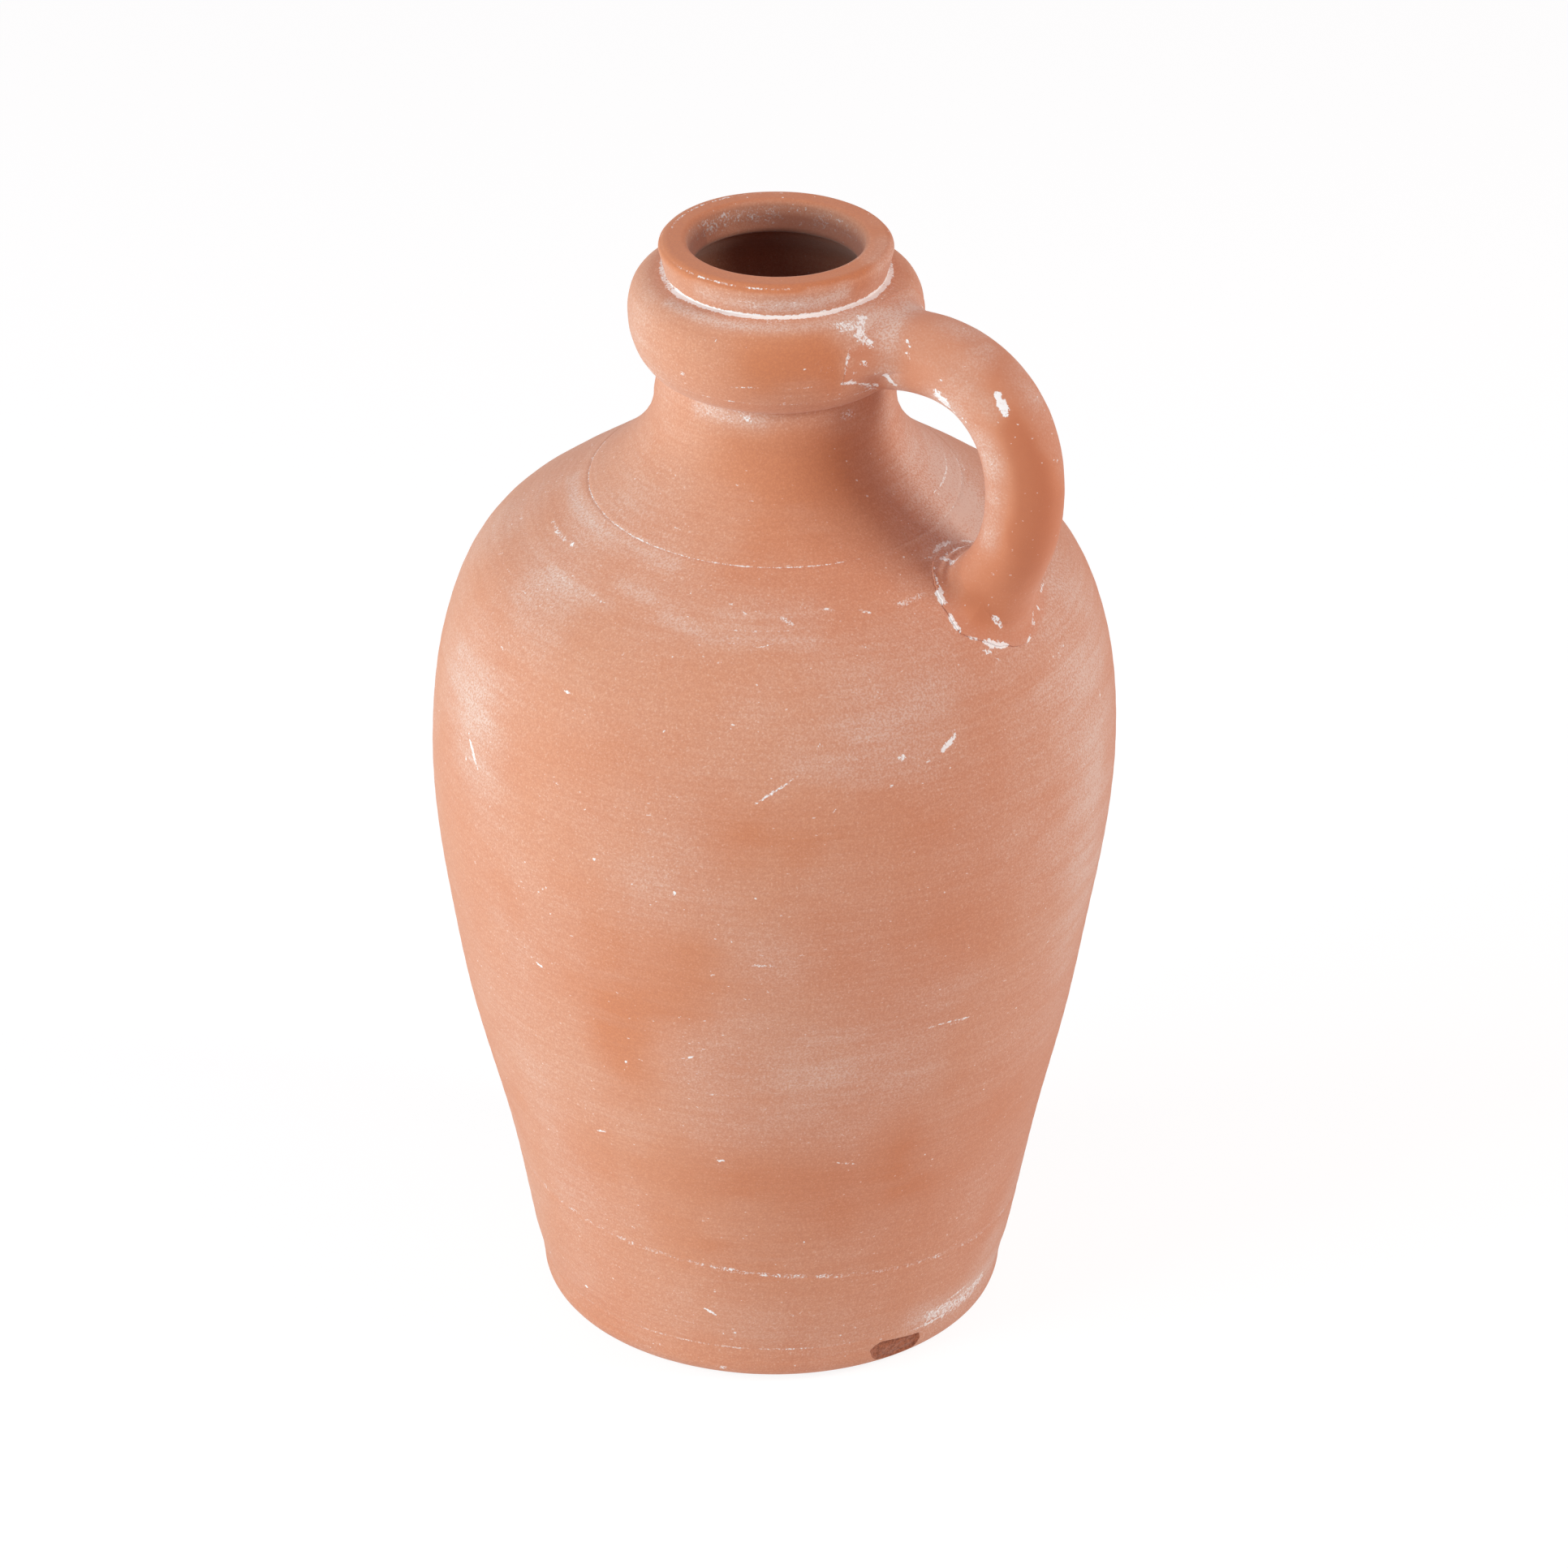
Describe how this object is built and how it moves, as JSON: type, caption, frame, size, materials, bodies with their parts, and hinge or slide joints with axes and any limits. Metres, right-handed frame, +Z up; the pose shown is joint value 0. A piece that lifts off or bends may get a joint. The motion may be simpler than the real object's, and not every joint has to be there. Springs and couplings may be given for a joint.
{
  "type": "jug",
  "caption": "Tall terracotta jug with a rounded shoulder, a short neck under a bulging collar and a thick lip, and a loop handle pulled from the collar to the shoulder.",
  "frame": {"origin": "centre of the flat underside, on the jug's turning axis", "axes": "+Z up along the turning axis, +X from the axis towards the handle"},
  "size_m": [0.2168, 0.2168, 0.37],
  "materials": {
    "thrown_clay": "unglazed wheel-thrown terracotta, matte, with rubbed limewash",
    "pulled_clay": "unglazed hand-pulled terracotta, matte, with limewash left in the joints"
  },
  "bodies": {
    "root": {"base_disc": "thrown_clay", "lower_wall": "thrown_clay", "shoulder_wall": "thrown_clay", "neck_ring": "thrown_clay", "collar": "thrown_clay", "lip_ring": "thrown_clay", "handle": "pulled_clay", "upper_root_pad": "pulled_clay", "lower_root_pad": "pulled_clay"}
  },
  "joints": []
}
